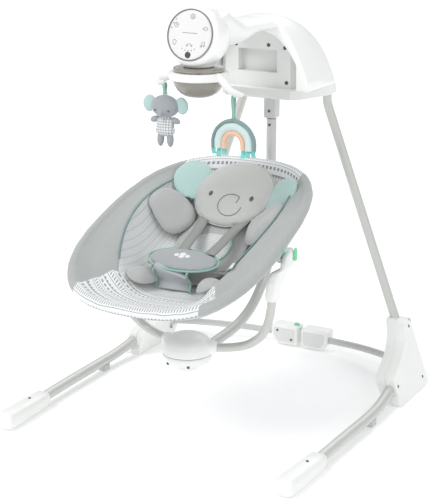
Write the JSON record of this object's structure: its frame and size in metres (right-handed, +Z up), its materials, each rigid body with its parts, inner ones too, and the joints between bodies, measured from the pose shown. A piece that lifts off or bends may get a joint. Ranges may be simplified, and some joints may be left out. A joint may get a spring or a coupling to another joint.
{
  "type": "baby swing",
  "caption": "Portable powered baby swing: folding tube frame, powered housing with control panel, hanging swing arm, swivelling reclining padded seat and turning toy mobile.",
  "frame": {"origin": "on the floor, under the middle of the swing's bounding box", "axes": "+Z up, -Y to the front where the toes point and the control panel faces, +X to the seat's left-hand side seen from behind"},
  "size_m": [0.77, 0.8702, 0.9445],
  "materials": {
    "white_plastic": "smooth moulded, satin gloss",
    "pale_grey_plastic": "fine satin moulding",
    "leg_tube": "smooth light grey powder coat",
    "arm_tube": "smooth grey powder coat",
    "steel_pin": "plain bright pin",
    "dark_plastic": "gloss dark trim",
    "smoke_plastic": "translucent smoked moulding",
    "green_plastic": "mint green touch points",
    "pad_rubber": "soft matte",
    "grey_fabric": "brushed knit",
    "mint_fabric": "short pile plush",
    "teal_fabric": "woven ribbon"
  },
  "bodies": {
    "housing": {"housing_body": "white_plastic", "hood_shell": "white_plastic", "arm_pivot_shaft": "steel_pin", "left_fold_pin": "steel_pin", "right_fold_pin": "steel_pin", "head_shell": "white_plastic", "panel_bezel": "dark_plastic", "control_panel": "pale_grey_plastic", "panel_lens": "dark_plastic"},
    "battery_door": {"battery_door": "white_plastic"},
    "swing_arm": {"swing_arm_tube": "arm_tube", "swing_arm_bracket": "arm_tube", "seat_hub_base": "white_plastic", "swivel_axle": "pale_grey_plastic"},
    "seat_yoke": {"seat_hub_cap": "white_plastic", "left_yoke_tube": "leg_tube", "right_yoke_tube": "leg_tube", "left_boot": "white_plastic", "right_boot": "white_plastic", "left_recline_pin": "steel_pin", "right_recline_pin": "steel_pin"},
    "left_recline_lever": {"left_recline_lever": "green_plastic"},
    "right_recline_lever": {"right_recline_lever": "green_plastic"},
    "seat": {"seat_ring": "leg_tube", "left_ring_lug": "white_plastic", "right_ring_lug": "white_plastic", "seat_cover": "grey_fabric", "body_support_pad": "grey_fabric", "head_pillow": "grey_fabric", "waist_pad": "mint_fabric"},
    "mobile": {"mobile_spindle": "steel_pin", "mobile_disc": "smoke_plastic", "mobile_arm_ring": "white_plastic", "mobile_bowl": "smoke_plastic"},
    "elephant": {"elephant_toy_strap": "teal_fabric", "elephant_toy": "grey_fabric"},
    "rainbow": {"rainbow_toy_strap": "teal_fabric", "rainbow_toy": "teal_fabric"},
    "fold_button": {"fold_button": "green_plastic"},
    "left_leg": {"left_upright_tube": "leg_tube", "left_front_leg_tube": "leg_tube", "left_hub_outer_shell": "white_plastic", "left_hub_inner_shell": "white_plastic", "left_foot_boot": "white_plastic", "left_glide_pad": "pad_rubber", "left_rear_bar_pin": "steel_pin"},
    "left_rear_bar": {"left_rear_bar": "arm_tube", "left_fold_box": "pale_grey_plastic"},
    "right_leg": {"right_upright_tube": "leg_tube", "right_front_leg_tube": "leg_tube", "right_hub_outer_shell": "white_plastic", "right_hub_inner_shell": "white_plastic", "right_foot_boot": "white_plastic", "right_glide_pad": "pad_rubber", "right_rear_bar_pin": "steel_pin"},
    "right_rear_bar": {"right_rear_bar": "arm_tube", "right_fold_box": "pale_grey_plastic"}
  },
  "joints": [
    {"name": "left_leg_fold", "type": "hinge", "parent": "housing", "child": "left_leg", "pos_m": [-0.112, 0.28755, 0.73], "axis": [0, -1, 0], "range_deg": [0, 4.5]},
    {"name": "right_leg_fold", "type": "hinge", "parent": "housing", "child": "right_leg", "pos_m": [0.112, 0.28755, 0.73], "axis": [0, 1, 0], "range_deg": [0, 4.5]},
    {"name": "left_bar_fold", "type": "hinge", "parent": "left_leg", "child": "left_rear_bar", "pos_m": [-0.325, 0.28555, 0.055], "axis": [0, 0, 1], "range_deg": [0, 21.6]},
    {"name": "right_bar_fold", "type": "hinge", "parent": "right_leg", "child": "right_rear_bar", "pos_m": [0.325, 0.28555, 0.055], "axis": [0, 0, -1], "range_deg": [0, 21.6]},
    {"name": "fold_button_press", "type": "slide", "parent": "left_rear_bar", "child": "fold_button", "axis": [0, 0, -1], "range_m": [0, 0.004], "stiffness_N_per_m": 300},
    {"name": "swing", "type": "hinge", "parent": "housing", "child": "swing_arm", "pos_m": [0, 0.21755, 0.775], "axis": [0, 1, 0], "range_deg": [-12, 12]},
    {"name": "seat_swivel", "type": "hinge", "parent": "swing_arm", "child": "seat_yoke", "pos_m": [0, -0.18845, 0.18], "axis": [0, 0, 1], "range_deg": [-90, 90]},
    {"name": "seat_recline", "type": "hinge", "parent": "seat_yoke", "child": "seat", "pos_m": [0, -0.15745, 0.425], "axis": [1, 0, 0], "range_deg": [0, 10]},
    {"name": "left_lever_squeeze", "type": "hinge", "parent": "seat_yoke", "child": "left_recline_lever", "pos_m": [-0.2426, -0.14645, 0.444], "axis": [1, 0, 0], "range_deg": [0, 12], "stiffness_Nm_per_rad": 0.2},
    {"name": "right_lever_squeeze", "type": "hinge", "parent": "seat_yoke", "child": "right_recline_lever", "pos_m": [0.2426, -0.14645, 0.444], "axis": [1, 0, 0], "range_deg": [0, 12], "stiffness_Nm_per_rad": 0.2},
    {"name": "mobile_spin", "type": "hinge", "parent": "housing", "child": "mobile", "pos_m": [0, -0.13345, 0.79], "axis": [0, 0, 1], "continuous": true},
    {"name": "elephant_sway", "type": "hinge", "parent": "mobile", "child": "elephant", "pos_m": [-0.085, -0.13345, 0.764], "axis": [0, 1, 0], "range_deg": [-12, 12]},
    {"name": "rainbow_sway", "type": "hinge", "parent": "mobile", "child": "rainbow", "pos_m": [0.085, -0.13345, 0.752], "axis": [0, 1, 0], "range_deg": [-12, 12]},
    {"name": "battery_door_open", "type": "hinge", "parent": "housing", "child": "battery_door", "pos_m": [0.0806, 0.24355, 0.8555], "axis": [0, -1, 0], "range_deg": [0, 60]}
  ],
  "couplings": [
    {"joint": "right_leg_fold", "follows": "left_leg_fold", "ratio": 1},
    {"joint": "left_bar_fold", "follows": "left_leg_fold", "ratio": 4.8},
    {"joint": "right_bar_fold", "follows": "left_leg_fold", "ratio": 4.8}
  ]
}
